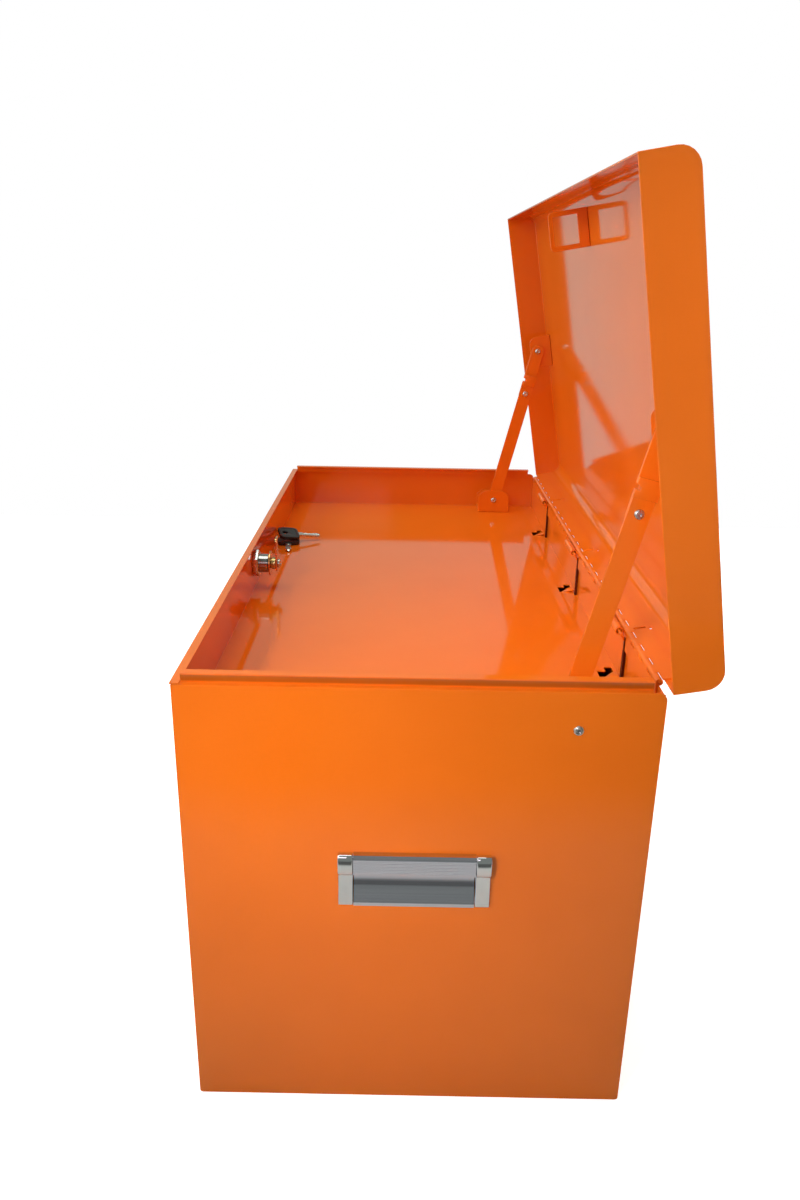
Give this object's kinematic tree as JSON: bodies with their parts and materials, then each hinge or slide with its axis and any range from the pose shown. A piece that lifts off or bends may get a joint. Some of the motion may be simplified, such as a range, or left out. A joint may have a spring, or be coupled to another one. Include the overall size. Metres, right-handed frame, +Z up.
{
  "type": "metal tool chest",
  "caption": "Sheet-steel tool chest with a hinged lid on folding stays, a lockable top tray, sliding drawers and flush carrying handles.",
  "frame": {"origin": "centre of the underside of the base", "axes": "+X along the length, -Y the front, +Y the hinge side, +Z up"},
  "size_m": [0.6576, 0.3441, 0.63],
  "materials": {
    "orange_enamel": "gloss powder coat",
    "handle_alloy": "ribbed satin extrusion",
    "cap_chrome": "bright plated",
    "zinc_steel": "zinc plated",
    "dark_steel": "dark unpainted",
    "lock_brass": "dull machined",
    "key_black": "moulded key head"
  },
  "bodies": {
    "cabinet": {"cabinet_shell": "orange_enamel", "bottom_panel": "orange_enamel", "face_frame": "orange_enamel", "top_tray": "orange_enamel", "right_runner_panel": "orange_enamel", "left_runner_panel": "orange_enamel", "right_column_divider": "orange_enamel", "left_column_divider": "orange_enamel", "right_handle_profile": "handle_alloy", "right_handle_front_cap": "cap_chrome", "right_handle_rear_cap": "cap_chrome", "left_handle_profile": "handle_alloy", "left_handle_front_cap": "cap_chrome", "left_handle_rear_cap": "cap_chrome", "right_stay_bracket": "orange_enamel", "left_stay_bracket": "orange_enamel", "right_panel_rivet": "zinc_steel", "left_panel_rivet": "zinc_steel", "hinge_body_leaf": "orange_enamel", "hinge_pin": "zinc_steel", "right_lower_rivet": "zinc_steel", "left_lower_rivet": "zinc_steel", "lock_barrel": "cap_chrome", "lock_nut": "zinc_steel"},
    "lid": {"lid_shell": "orange_enamel", "hinge_lid_leaf": "orange_enamel", "lock_striker": "orange_enamel", "right_lid_bracket": "orange_enamel", "left_lid_bracket": "orange_enamel", "right_upper_rivet": "zinc_steel", "left_upper_rivet": "zinc_steel"},
    "stay_lower_right": {"right_lower_arm": "orange_enamel", "right_knee_rivet": "zinc_steel"},
    "stay_upper_right": {"right_upper_arm": "orange_enamel"},
    "stay_lower_left": {"left_lower_arm": "orange_enamel", "left_knee_rivet": "zinc_steel"},
    "stay_upper_left": {"left_upper_arm": "orange_enamel"},
    "lock_turning": {"lock_core": "lock_brass", "lock_washer": "zinc_steel", "lock_cam": "zinc_steel", "cam_screw": "zinc_steel"},
    "keys": {"key_lower": "key_black", "key_upper": "key_black"},
    "bar_left": {"lock_bar_left": "dark_steel"},
    "bar_middle": {"lock_bar_middle": "dark_steel"},
    "bar_right": {"lock_bar_right": "dark_steel"},
    "slide_top_left": {"drawer_top_left": "orange_enamel", "pull_top_left": "handle_alloy"},
    "slide_top_middle": {"drawer_top_middle": "orange_enamel", "pull_top_middle": "handle_alloy"},
    "slide_top_right": {"drawer_top_right": "orange_enamel", "pull_top_right": "handle_alloy"},
    "slide_lower": {"drawer_lower": "orange_enamel", "pull_lower": "handle_alloy"},
    "slide_middle": {"drawer_middle": "orange_enamel", "pull_middle": "handle_alloy"},
    "slide_upper": {"drawer_upper": "orange_enamel", "pull_upper": "handle_alloy"}
  },
  "joints": [
    {"name": "lid_hinge", "type": "hinge", "parent": "cabinet", "child": "lid", "pos_m": [0, 0.1522, 0.3257], "axis": [1, 0, 0], "range_deg": [0, 80]},
    {"name": "stay_lower_right_pivot", "type": "hinge", "parent": "cabinet", "child": "stay_lower_right", "pos_m": [0.2885, 0.0997, 0.301], "axis": [1, 0, 0], "range_deg": [0, 102.5]},
    {"name": "stay_upper_right_pivot", "type": "hinge", "parent": "lid", "child": "stay_upper_right", "pos_m": [0.2885, 0.14352, 0.48034], "axis": [1, 0, 0], "range_deg": [-107, 0]},
    {"name": "stay_lower_left_pivot", "type": "hinge", "parent": "cabinet", "child": "stay_lower_left", "pos_m": [-0.2885, 0.0997, 0.301], "axis": [1, 0, 0], "range_deg": [0, 102.5]},
    {"name": "stay_upper_left_pivot", "type": "hinge", "parent": "lid", "child": "stay_upper_left", "pos_m": [-0.2885, 0.14352, 0.48034], "axis": [1, 0, 0], "range_deg": [-107, 0]},
    {"name": "lock_turn", "type": "hinge", "parent": "cabinet", "child": "lock_turning", "pos_m": [0.018, -0.1525, 0.31], "axis": [0, 1, 0], "range_deg": [-8, 82]},
    {"name": "keys_lift", "type": "slide", "parent": "cabinet", "child": "keys", "axis": [0, 0.2588, 0.9659], "range_m": [0, 0.048]},
    {"name": "bar_left_slide", "type": "slide", "parent": "cabinet", "child": "bar_left", "axis": [0, 0, 1], "range_m": [-0.0081, 0]},
    {"name": "bar_middle_slide", "type": "slide", "parent": "cabinet", "child": "bar_middle", "axis": [0, 0, 1], "range_m": [-0.0081, 0]},
    {"name": "bar_right_slide", "type": "slide", "parent": "cabinet", "child": "bar_right", "axis": [0, 0, 1], "range_m": [-0.0081, 0]},
    {"name": "drawer_top_left_slide", "type": "slide", "parent": "cabinet", "child": "slide_top_left", "axis": [0, -1, 0], "range_m": [0, 0.22]},
    {"name": "drawer_top_middle_slide", "type": "slide", "parent": "cabinet", "child": "slide_top_middle", "axis": [0, -1, 0], "range_m": [0, 0.22]},
    {"name": "drawer_top_right_slide", "type": "slide", "parent": "cabinet", "child": "slide_top_right", "axis": [0, -1, 0], "range_m": [0, 0.22]},
    {"name": "drawer_lower_slide", "type": "slide", "parent": "cabinet", "child": "slide_lower", "axis": [0, -1, 0], "range_m": [0, 0.22]},
    {"name": "drawer_middle_slide", "type": "slide", "parent": "cabinet", "child": "slide_middle", "axis": [0, -1, 0], "range_m": [0, 0.22]},
    {"name": "drawer_upper_slide", "type": "slide", "parent": "cabinet", "child": "slide_upper", "axis": [0, -1, 0], "range_m": [0, 0.22]}
  ],
  "couplings": [
    {"joint": "stay_lower_right_pivot", "follows": "lid_hinge", "ratio": 1.2736},
    {"joint": "stay_upper_right_pivot", "follows": "lid_hinge", "ratio": -1.3302},
    {"joint": "stay_lower_left_pivot", "follows": "lid_hinge", "ratio": 1.2736},
    {"joint": "stay_upper_left_pivot", "follows": "lid_hinge", "ratio": -1.3302},
    {"joint": "bar_left_slide", "follows": "lid_hinge", "m_per_rad": -0.0057296},
    {"joint": "bar_middle_slide", "follows": "lid_hinge", "m_per_rad": -0.0057296},
    {"joint": "bar_right_slide", "follows": "lid_hinge", "m_per_rad": -0.0057296}
  ]
}
